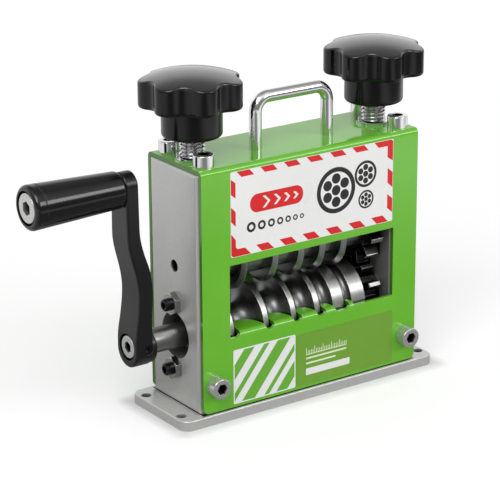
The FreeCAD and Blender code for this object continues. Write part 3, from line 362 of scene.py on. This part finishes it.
# Housing: front, top and back folded from one 2 mm sheet, powder coated a glossy leaf green.
# The window's lower edge is folded in as a comb whose tongues lie in the roller's grooves.
def coated(name, colour, dull, rough, ior, ripple, ripple_depth, wear_glint_colour, side_face_shade=None):
    # chipped is the colour of the lighter edges and its strength, partly wear and partly painted
    # highlight; side_face_shade is the painted shade on faces turned to the sides, such as the
    # sheet's ends
    made, tree, shader, place = blank_material(name)
    film = group_node(tree, brushed_grain, {"Vector": place, "Lines": (ripple, ripple, ripple),
                                            "Blotch Size": 0.05})
    corner = group_node(tree, wear_glint_edge, {"Vector": place, "Radius": 0.0004, "Patch Size": 0.004})
    body = blend_colour(tree, spread_noise(tree, film["Blotch"]), tone(*dull), tone(*colour))
    wear_glint_mix = calc(tree, "MULTIPLY", corner["Wear And Glint"], wear_glint_colour[3])
    body = blend_colour(tree, wear_glint_mix, body, tone(*wear_glint_colour[:3]))
    # Painted shade: faces turned left or right, such as the sheet's ends and the window's side
    # walls, are darker.
    if side_face_shade:
        facing = put(tree, "ShaderNodeNewGeometry", {}).outputs["True Normal"]
        sideways = calc(tree, "ABSOLUTE", axes_of(tree, facing)[0])
        body = blend_colour(tree, remap(tree, sideways, 0.8, 0.95), body, tone(*side_face_shade))
    tree.links.new(body, shader.inputs["Base Color"])
    finish = spread_noise(tree, film["Blotch"], rough * 0.7, rough * 1.3)
    tree.links.new(finish, shader.inputs["Roughness"])
    shader.inputs["IOR"].default_value = ior
    peel = bump(tree, film["Grain"], ripple_depth, corner["Normal"])
    tree.links.new(peel, shader.inputs["Normal"])
    return made


leaf_green = coated("leaf_green", (104, 180, 46), (98, 174, 40), 0.06, 1.6, 420, 0.000002,
                    (160, 212, 110, 0.55), side_face_shade=(62, 112, 28))
dress(leaf_green, "housing_cover")

# Cap screws of the housing: M6 socket heads, satin zinc at the front and back, polished on top.
# They clamp the folded sheet to the side plates.
# Painted shade: the hex sockets of the front, hub, axle and top screws are darkened inside.
front_socket = ((0.0565, 0.0283, 0.0191), along_y, 0.0031, 0.0016)
hub_socket = ((0.0906, 0, drive_z), along_x, 0.0031, 0.0012)
axle_socket = ((0.1412, 0, 0.1168), along_x, 0.0037, 0.0030)
zinc_screw = metal("zinc_screw", (205, 205, 204), (190, 190, 189), 0.27, (1800, 1800, 1800),
                   wear_glint=0.8, metallic=0.75, sunk=[front_socket, hub_socket, axle_socket])
dress(zinc_screw, "front_cap_screws", "rear_cap_screws", "handle_washers")
top_socket = ((0.0565, 0.0145, 0.1307), along_z, 0.0031, 0.0010)
bright_chrome = metal("bright_chrome", (232, 232, 232), (224, 224, 224), 0.1, (500, 500, 500),
                      spread=0.05, edge=0.0, depth=0.0, sunk=[top_socket])
dress(bright_chrome, "top_cap_screws")


# Upper label: a white printed film on the front of the housing with a red block border, a red bar
# with arrowheads, a row of graded rings and three cable cross-sections. It is glued on flat.
def film_material(name, colour, dull):
    made, tree, shader, place = blank_material(name)
    specks_per_metre = (2500, 2500, 2500)
    print_grain = group_node(tree, brushed_grain, {"Vector": place, "Lines": specks_per_metre,
                                                   "Blotch Size": 0.04})
    both = calc(tree, "ADD", print_grain["Grain"], print_grain["Blotch"])
    shade = calc(tree, "MULTIPLY", both, 0.5)
    printed = blend_colour(tree, remap(tree, shade, 0.35, 0.65), tone(*dull), tone(*colour))
    tree.links.new(printed, shader.inputs["Base Color"])
    sheen = spread_noise(tree, print_grain["Blotch"], 0.26, 0.35)
    tree.links.new(sheen, shader.inputs["Roughness"])
    tree.links.new(bump(tree, print_grain["Grain"], 0.000003), shader.inputs["Normal"])
    return made


film_white = film_material("film_white", (230, 230, 229), (223, 223, 222))
film_red = film_material("film_red", (214, 20, 22), (205, 17, 19))
film_black = film_material("film_black", (30, 30, 31), (22, 22, 23))
front_y = -0.0223
film_thick = 0.00012
ink_thick = 0.00002


def finish_piece(name, bm, material, body, smooth=None):
    bmesh.ops.recalc_face_normals(bm, faces=bm.faces[:])
    mesh = bpy.data.meshes.new(name)
    bm.to_mesh(mesh)
    bm.free()
    mesh.materials.append(material)
    if smooth is not None:
        mesh.shade_smooth()
        mesh.set_sharp_from_angle(angle=math.radians(smooth))
    piece = bpy.data.objects.new(name, mesh)
    bpy.context.scene.collection.objects.link(piece)
    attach(piece, body)
    return piece


def finish_print(name, bm, material):
    finish_piece(name, bm, material, "housing")


def verts_in(geom):
    return [item for item in geom if isinstance(item, bmesh.types.BMVert)]


def thicken(bm, faces, thick):
    # Makes a thin solid of flat faces on the housing's front
    lifted = bmesh.ops.extrude_face_region(bm, geom=faces)["geom"]
    bmesh.ops.translate(bm, verts=verts_in(lifted), vec=(0, -thick, 0))


def front_face(bm, outline, rise):
    # outline is (x, z) in millimetres; rise, in metres, is how far it lies in front of the sheet
    return bm.faces.new([bm.verts.new((x / 1000, front_y - rise, z / 1000)) for x, z in outline])


def front_flat(bm, outline, rise=film_thick, thick=ink_thick):
    thicken(bm, [front_face(bm, outline, rise)], thick)


def front_bar(bm, x0, x1, z0, z1):
    front_flat(bm, [(x0, z0), (x1, z0), (x1, z1), (x0, z1)])


def slanted_block(bm, x, wide, lean, z_start, z_end):
    front_flat(bm, [(x, z_start), (x + wide, z_start), (x + wide + lean, z_end), (x + lean, z_end)])


def rounded_rect(x0, x1, z0, z1, radius, steps=6):
    points = []
    for cx, cz, start in ((x1 - radius, z1 - radius, 0), (x0 + radius, z1 - radius, 90),
                          (x0 + radius, z0 + radius, 180), (x1 - radius, z0 + radius, 270)):
        for k in range(steps + 1):
            angle = math.radians(start + 90 * k / steps)
            points.append((cx + radius * math.cos(angle), cz + radius * math.sin(angle)))
    return points


bm = bmesh.new()
front_flat(bm, rounded_rect(-47.1, 47.9, 80.6, 122.0, 0.8), 0.0, film_thick)
finish_print("upper_label", bm, film_white)

# The border's blocks, each leaning the same way, between its outer and inner lines
left_out, left_in, right_out, right_in = -46.9, -44.3, 47.7, 44.6
low_out, low_in, high_in, high_out = 80.8, 84.35, 118.9, 121.8
bm = bmesh.new()
for x in (-43.6, -30.3, -17.0, -3.8, 9.8, 23.0):
    slanted_block(bm, x, 7.2, 2.6, high_out, high_in)
for x in (-29.5, -16.1, -2.75, 10.9, 24.6, 38.3):
    slanted_block(bm, x, 6.9, -3.4, low_out, low_in)
for out_x, in_x, out_top, out_foot, in_top, in_foot in (
        (left_out, left_in, 118.6, 111.2, 116.5, 109.1),
        (left_out, left_in, 105.2, 98.1, 102.6, 95.4),
        (right_out, right_in, 105.3, 97.6, 107.8, 100.5),
        (right_out, right_in, 92.1, 85.0, 94.7, 87.6)):
    front_flat(bm, [(out_x, out_top), (in_x, in_top), (in_x, in_foot), (out_x, out_foot)])
front_flat(bm, [(left_out, 92.1), (left_in, 88.9), (left_in, 85.3), (-43.3, low_in),
                (-39.2, low_in), (-35.8, low_out), (-45.9, low_out), (left_out, 81.8)])
front_flat(bm, [(36.35, high_out), (46.7, high_out), (right_out, 120.8), (right_out, 111.1),
                (44.4, 113.3), (44.4, high_in), (38.95, high_in)])
finish_print("upper_label_border", bm, film_red)

bm = bmesh.new()
front_flat(bm, rounded_rect(-36.2, -5.8, 100.2, 109.2, 4.2, 8))
finish_print("upper_label_bar", bm, film_red)

# Plain arrowheads on the bar, from the wide groove's side to the narrow one's
bm = bmesh.new()
bar_z, stroke = 104.7, 1.5
for tip_x, half in ((-26.2, 2.9), (-20.2, 2.5), (-14.8, 2.1), (-10.0, 1.7)):
    tail_x = tip_x - half
    front_flat(bm, [(tail_x, bar_z + half), (tail_x + stroke, bar_z + half), (tip_x + stroke, bar_z),
                    (tail_x + stroke, bar_z - half), (tail_x, bar_z - half), (tip_x, bar_z)],
               film_thick + ink_thick)
finish_print("upper_label_arrows", bm, film_white)


def front_circle(bm, cx, cz, radius, steps, filled):
    place = Matrix.Translation((cx / 1000, front_y - film_thick, cz / 1000))
    made = bmesh.ops.create_circle(bm, cap_ends=filled, radius=radius / 1000, segments=steps,
                                   matrix=place @ Matrix.Rotation(math.pi / 2, 4, "X"))
    return made["verts"]


def front_disc(bm, cx, cz, radius):
    rim = front_circle(bm, cx, cz, radius, 40, True)
    thicken(bm, list({face for vert in rim for face in vert.link_faces}), ink_thick)


def front_ring(bm, cx, cz, outer, inner, steps=48):
    rims = front_circle(bm, cx, cz, outer, steps, False)
    rims += front_circle(bm, cx, cz, inner, steps, False)
    edges = list({edge for vert in rims for edge in vert.link_edges})
    thicken(bm, bmesh.ops.bridge_loops(bm, edges=edges)["faces"], ink_thick)


# Row of graded rings under the bar, as (x, outer radius)
bm = bmesh.new()
for cx, outer in ((-35.6, 2.5), (-29.6, 2.25), (-24.1, 2.0), (-19.1, 1.8), (-14.5, 1.6),
                  (-10.3, 1.4), (-6.5, 1.2)):
    front_ring(bm, cx, 93.6, outer, outer * 0.5)
finish_print("upper_label_rings", bm, film_black)

# Cable cross-sections on the right: a sheath, one core in the middle and six round it
bm = bmesh.new()
for cx, cz, sheath, core in ((13.6, 102.4, 11.4, 2.55), (31.2, 107.4, 6.6, 1.5),
                             (31.6, 94.6, 4.6, 1.05)):
    front_ring(bm, cx, cz, sheath, sheath * 0.8, 72)
    front_disc(bm, cx, cz, core)
    core_circle = sheath * 0.51
    for k in range(6):
        angle = math.radians(60 * k + 30)
        front_disc(bm, cx + core_circle * math.cos(angle), cz + core_circle * math.sin(angle), core)
finish_print("upper_label_cables", bm, film_black)

# Lower label: two printed films under the window, one with slanting white and green bands, and
# beside it an olive one with a plain scale, lines and a bar. They are glued on flat.
film_olive = film_material("film_olive", (112, 160, 50), (104, 152, 44))
film_green = film_material("film_green", (104, 172, 52), (98, 166, 46))
film_cream = film_material("film_cream", (222, 232, 200), (214, 224, 192))
bm = bmesh.new()
front_flat(bm, rounded_rect(-46.2, -10.1, 7.0, 34.4, 0.8), 0.0, film_thick)
finish_print("lower_label_left", bm, film_white)
bm = bmesh.new()
front_flat(bm, rounded_rect(-9.6, 49.0, 7.0, 33.8, 0.8), 0.0, film_thick)
finish_print("lower_label_right", bm, film_olive)
bm = bmesh.new()
front_flat(bm, rounded_rect(-3.85, 22.6, 11.8, 15.2, 0.4))
finish_print("lower_label_white_bar", bm, film_white)

# The scale: 25 strokes 1 mm apart, every fifth taller, on a base line, and two lines below it
bm = bmesh.new()
half_stroke = 0.17
line_x, scale_z = -3.77, 22.6
for k in range(25):
    stroke_x = k - 3.6
    tall = 3.4 if k % 5 == 0 else 2.0
    front_bar(bm, stroke_x - half_stroke, stroke_x + half_stroke, scale_z, scale_z + tall)
front_bar(bm, line_x, 20.57, 22.2, scale_z)
for line_z, line_end in ((20.0, 20.5), (17.4, 14.0)):
    front_bar(bm, line_x, line_end, line_z, line_z + 0.9)
finish_print("lower_label_scale", bm, film_cream)


def cut_off(bm, point, outward):
    # Cuts the whole mesh at a plane and drops what lies beyond it
    bmesh.ops.bisect_plane(bm, geom=bm.verts[:] + bm.edges[:] + bm.faces[:], plane_co=point,
                           plane_no=outward, clear_outer=True)


# The slanting bands run over the film's whole height and are cut off square at its sides
bm = bmesh.new()
band_foot, band_top, band_lean = 7.6, 33.8, 21.0
for x, broad in ((-61.0, 6.0), (-49.5, 3.2), (-41.5, 7.5), (-28.5, 2.8), (-21.5, 6.5)):
    front_face(bm, [(x, band_foot), (x + broad, band_foot), (x + broad + band_lean, band_top),
                    (x + band_lean, band_top)], film_thick)
cut_off(bm, (-0.0456, 0, 0), (-1, 0, 0))
cut_off(bm, (-0.0107, 0, 0), (1, 0, 0))
thicken(bm, bm.faces[:], ink_thick)
finish_print("lower_label_bands", bm, film_green)

# Screw bushes: turned steel bushes with a thin flange on top of the housing.
# Each has the thread for one adjusting screw.
dress(bright_chrome, "screw_bush_left", "screw_bush_right")


# Adjusting screws: M12 studs, bright plated, with a neck and collar in the block's slot below
# and the knob on top. The thread is a true helix, 1.75 mm to the turn.
def spin_line(bm, points):
    # A line of (radius, height) points beside the Z axis
    line = [bm.verts.new((radius, 0.0, height)) for radius, height in points]
    return line + [bm.edges.new(pair) for pair in zip(line, line[1:])]


def weld(bm, distance):
    bmesh.ops.remove_doubles(bm, verts=bm.verts[:], dist=distance)


def close_ends(bm):
    bmesh.ops.holes_fill(bm, edges=[edge for edge in bm.edges if edge.is_boundary], sides=0)


thread_steel = metal("thread_steel", (206, 206, 207), (186, 186, 188), 0.16, (1500, 1500, 1500),
                     spread=0.08, edge=0.0, depth=0.000001)
pitch = 0.00175
crest, root = 0.006, 0.00505
thread_low, thread_high = 0.1187, 0.1505
collar_r, neck_r = 0.005, 0.003
collar_low, collar_high, neck_high, shank_high = 0.08825, 0.09115, 0.0942, 0.11872
screw_x = 0.053
round_steps = 40
stud_weld = 0.000004
for side, name in ((-1, "left"), (1, "right")):
    bm = bmesh.new()
    one_turn = [(crest, 0.0), (root, 0.43), (root, 0.50), (crest, 0.93), (crest, 1.0)]
    profile = spin_line(bm, [(r, thread_low - pitch + share * pitch) for r, share in one_turn])
    turns = int((thread_high - thread_low) / pitch) + 3
    bmesh.ops.spin(bm, geom=profile, cent=(0, 0, 0), axis=along_z, dvec=(0, 0, pitch / round_steps),
                   angle=2 * math.pi * turns, steps=round_steps * turns, use_duplicate=False)
    weld(bm, stud_weld)
    cut_off(bm, (0, 0, thread_low), (0, 0, -1))
    cut_off(bm, (0, 0, thread_high), (0, 0, 1))
    close_ends(bm)
    foot = spin_line(bm, [(0.0, collar_low), (collar_r, collar_low), (collar_r, collar_high),
                          (neck_r, collar_high), (neck_r, neck_high), (crest, neck_high),
                          (crest, shank_high), (0.0, shank_high)])
    bmesh.ops.spin(bm, geom=foot, cent=(0, 0, 0), axis=along_z, angle=2 * math.pi,
                   steps=round_steps, use_merge=True, use_duplicate=False)
    weld(bm, stud_weld)
    bmesh.ops.translate(bm, verts=bm.verts[:], vec=(side * screw_x, 0, 0))
    stud = finish_piece("adjusting_stud_" + name, bm, thread_steel, "knob_screw_" + name,
                        35)
    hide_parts("adjusting_screw_" + name)


# Star knobs: glossy black moulded plastic, seven rounded lobes under a shallow dome, on a round hub.
# Each is pressed on the top of its adjusting screw.
def moulded(name, rough, ior, depth, satin_above=None):
    made, tree, shader, place = blank_material(name)
    texture = (900, 900, 900)
    skin = group_node(tree, brushed_grain, {"Vector": place, "Lines": texture, "Blotch Size": 0.012})
    corner = group_node(tree, wear_glint_edge, {"Vector": place, "Radius": 0.0004})
    body = blend_colour(tree, spread_noise(tree, skin["Blotch"]), tone(7, 7, 7), tone(10, 10, 10))
    # Grey along the edges: partly worn plastic, partly painted highlight
    wear_glint_mix = calc(tree, "MULTIPLY", corner["Wear And Glint"], 0.25)
    tree.links.new(blend_colour(tree, wear_glint_mix, body, tone(90, 90, 92)), shader.inputs["Base Color"])
    finish = spread_noise(tree, skin["Blotch"], rough * 0.8, rough * 1.25)
    tree.links.new(finish, shader.inputs["Roughness"])
    if satin_above:
        # The dome has a fine satin skin over the gloss of the sides
        dome = remap(tree, axes_of(tree, place)[2], satin_above, satin_above + 0.0012)
        tree.links.new(dome, shader.inputs["Coat Weight"])
        shader.inputs["Coat Roughness"].default_value = 0.3
    shader.inputs["IOR"].default_value = ior
    tree.links.new(bump(tree, skin["Grain"], depth, corner["Normal"]), shader.inputs["Normal"])
    return made


dome_rim_z = 0.1618
knob_plastic = moulded("knob_plastic", 0.12, 1.38, 0.0000015, satin_above=dome_rim_z)
dress(knob_plastic, "knob_left", "knob_right")


# Carry handle: a 6 mm round bar bent twice and chrome plated,
# held from inside the housing by two screws with washers.
def straight_on(bm, tip, vec):
    edges = [item for item in tip if isinstance(item, bmesh.types.BMEdge)]
    grown = bmesh.ops.extrude_edge_only(bm, edges=edges)["geom"]
    moved = verts_in(grown)
    bmesh.ops.translate(bm, verts=moved, vec=vec)
    return moved + [item for item in grown if isinstance(item, bmesh.types.BMEdge)
                    and all(vert in moved for vert in item.verts)]


def bent_on(bm, tip, centre):
    return bmesh.ops.spin(bm, geom=tip, cent=centre, axis=along_y, angle=math.pi / 2, steps=16,
                          use_duplicate=False)["geom_last"]


bar_radius, bar_y = 0.003, -0.005
half_span, bend = 0.0208, 0.007
foot_z, bar_top_z = 0.1247, 0.1493
leg = bar_top_z - bend - foot_z
bm = bmesh.new()
ring = bmesh.ops.create_circle(bm, cap_ends=False, radius=bar_radius, segments=48)["verts"]
bmesh.ops.translate(bm, verts=ring, vec=(-half_span, bar_y, foot_z))
tip = ring + list({edge for vert in ring for edge in vert.link_edges})
tip = straight_on(bm, tip, (0, 0, leg))
tip = bent_on(bm, tip, (-half_span + bend, bar_y, bar_top_z - bend))
tip = straight_on(bm, tip, (2 * (half_span - bend), 0, 0))
tip = bent_on(bm, tip, (half_span - bend, bar_y, bar_top_z - bend))
straight_on(bm, tip, (0, 0, -leg))
weld(bm, 0.000002)
close_ends(bm)
bent_bar = finish_piece("carry_handle_bar", bm, bright_chrome, "housing", 40)
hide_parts("carry_handle")
dress(black_oxide, "handle_screws")

# Crank: a curved flat steel arm, satin black, clamped on the shaft by an end screw
# and a set screw in its boss.
arm_black = coated("arm_black", (16, 16, 16), (12, 12, 12), 0.24, 1.45, 1400, 0.000003,
                   (78, 78, 80, 0.5))
dress(arm_black, "crank_arm")
dress(zinc_screw, "crank_hub_screw")
dress(black_oxide, "crank_set_screw")

# Grip: a glossy black tapered sleeve that turns on a shoulder screw in the arm's eye.
# The screw's wide head is sunk in the outer end.
grip_plastic = moulded("grip_plastic", 0.14, 1.5, 0.000001)
dress(grip_plastic, "crank_grip")
dress(zinc_screw, "grip_axle_screw")

# Studio: a pale floor, a soft white surround, one large lamp from the left and a fill from the
# right. The camera stands where the photograph was taken from.
floor_mesh = bpy.data.meshes.new("studio_floor")
bm = bmesh.new()
bmesh.ops.create_grid(bm, x_segments=1, y_segments=1, size=6.0)
bm.to_mesh(floor_mesh)
bm.free()
studio_floor = bpy.data.objects.new("studio_floor", floor_mesh)
bpy.context.scene.collection.objects.link(studio_floor)
floor_paint, tree, shader, spot = blank_material("floor_paint")
shader.inputs["Base Color"].default_value = (0.72, 0.72, 0.72, 1.0)
shader.inputs["Roughness"].default_value = 0.9
shader.inputs["Specular IOR Level"].default_value = 0.0
shader.inputs["Emission Color"].default_value = (1.0, 1.0, 1.0, 1.0)

# Seen straight on, the floor glows to white, but for a thin shadow right beside the base plate
path = tree.nodes.new("ShaderNodeLightPath").outputs
base_half = (0.075, 0.0238, 0.0)
beside = vector(tree, "SUBTRACT", vector(tree, "ABSOLUTE", spot), base_half)
from_base = vector(tree, "LENGTH", vector(tree, "MAXIMUM", beside, (0.0, 0.0, 0.0)))
contact = remap(tree, from_base, 0.0, 0.008)
distant = remap(tree, from_base, 0.1, 1.2, 0.32, 0.6)
glow = calc(tree, "MULTIPLY", contact, distant)
shown = calc(tree, "MULTIPLY", glow, path["Is Camera Ray"])
tree.links.new(shown, shader.inputs["Emission Strength"])

# In reflections it is a dim table with a bright card on each side, measured across the view
sidewards = vector(tree, "DOT_PRODUCT", spot, (0.8207, -0.5713, 0.0))
right_card = remap(tree, sidewards, 0.2, 0.38, 0.25, 1.1)
card_end = remap(tree, sidewards, 0.45, 0.6, 1.1, 0.2)
left_card = remap(tree, sidewards, -0.06, -0.34, 0.25, 0.9)
card_level = calc(tree, "MAXIMUM", calc(tree, "MINIMUM", right_card, card_end), left_card)
mirrored_floor = put(tree, "ShaderNodeEmission", {"Strength": card_level}).outputs[0]
either = put(tree, "ShaderNodeMixShader",
             {0: path["Is Glossy Ray"], 1: shader.outputs[0], 2: mirrored_floor}).outputs[0]
tree.links.new(either, tree.nodes["Material Output"].inputs["Surface"])
floor_mesh.materials.append(floor_paint)

world = bpy.data.worlds.new("studio_surround")
bpy.context.scene.world = world
world.use_nodes = True
tree = world.node_tree
background = tree.nodes["Background"]
path = tree.nodes.new("ShaderNodeLightPath").outputs
direction = put(tree, "ShaderNodeTexCoord", {}).outputs["Generated"]
height = axes_of(tree, direction)[2]


def level_ramp(tree, feed, stops):
    made = put(tree, "ShaderNodeValToRGB", {0: feed})
    scale = made.color_ramp
    for k, (position, level) in enumerate(stops):
        stop = scale.elements[k] if k < 2 else scale.elements.new(position)
        stop.position = position
        stop.color = (level, level, level, 1)
    return made.outputs[0]


# What shiny surfaces mirror, by height, behind the part and in front of it
behind_level = level_ramp(tree, height, ((0.0, 1.0), (0.5, 1.0), (0.66, 0.35), (1.0, 0.35)))
front_level = level_ramp(tree, height, ((0.0, 0.2), (0.45, 0.4), (0.62, 1.0), (0.9, 1.0),
                                        (1.0, 0.35)))
depth_along_view = vector(tree, "DOT_PRODUCT", direction, (0.571, 0.821, 0.0))
behind = remap(tree, depth_along_view, -0.25, 0.25)
mirror_level = put(tree, "ShaderNodeMix", {0: behind, 2: front_level, 3: behind_level}).outputs[0]
mirrored = calc(tree, "MULTIPLY", path["Is Glossy Ray"], mirror_level)
ambient = 0.6
soft_level = calc(tree, "MULTIPLY", calc(tree, "SUBTRACT", 1.0, path["Is Glossy Ray"]), ambient)
surround = calc(tree, "ADD", mirrored, soft_level)
straight = calc(tree, "MAXIMUM", path["Is Camera Ray"], path["Is Transmission Ray"])
tree.links.new(calc(tree, "MAXIMUM", surround, straight), background.inputs["Strength"])
background.inputs["Color"].default_value = (1.0, 1.0, 1.0, 1.0)


def lamp(name, place, target, width, depth, power):
    light = bpy.data.lights.new(name, "AREA")
    light.shape = "RECTANGLE"
    light.size = width
    light.size_y = depth
    light.energy = power
    holder = bpy.data.objects.new(name, light)
    bpy.context.scene.collection.objects.link(holder)
    holder.location = place
    holder.rotation_euler = (Vector(target) - Vector(place)).to_track_quat("-Z", "Y").to_euler()


lamp("key_lamp", (-0.9, -0.75, 1.25), (0, 0, 0.07), 0.9, 0.9, 13.0)
lamp("fill_lamp", (0.786, -1.291, 0.79), (-0.05, 0, 0.1), 0.9, 0.42, 7.0)

yaw, pitch_down, roll = -0.608014293, 0.333186854, -0.0056994
stand = (-0.58767, -0.814535, 0.416514)
back = Vector((math.sin(yaw) * math.cos(pitch_down), -math.cos(yaw) * math.cos(pitch_down),
               math.sin(pitch_down)))
level = Vector((math.cos(yaw), math.sin(yaw), 0))
upward = back.cross(level)
across = math.cos(roll) * level + math.sin(roll) * upward
above = -math.sin(roll) * level + math.cos(roll) * upward
lens = bpy.data.cameras.new("photo_camera")
lens.sensor_width = 36.0
lens.lens = 158.1
lens.clip_start = 0.05
camera = bpy.data.objects.new("photo_camera", lens)
bpy.context.scene.collection.objects.link(camera)
camera.matrix_world = Matrix([*zip(across, above, back, stand), (0, 0, 0, 1)])
bpy.context.scene.camera = camera
bpy.context.scene.view_settings.view_transform = "Standard"
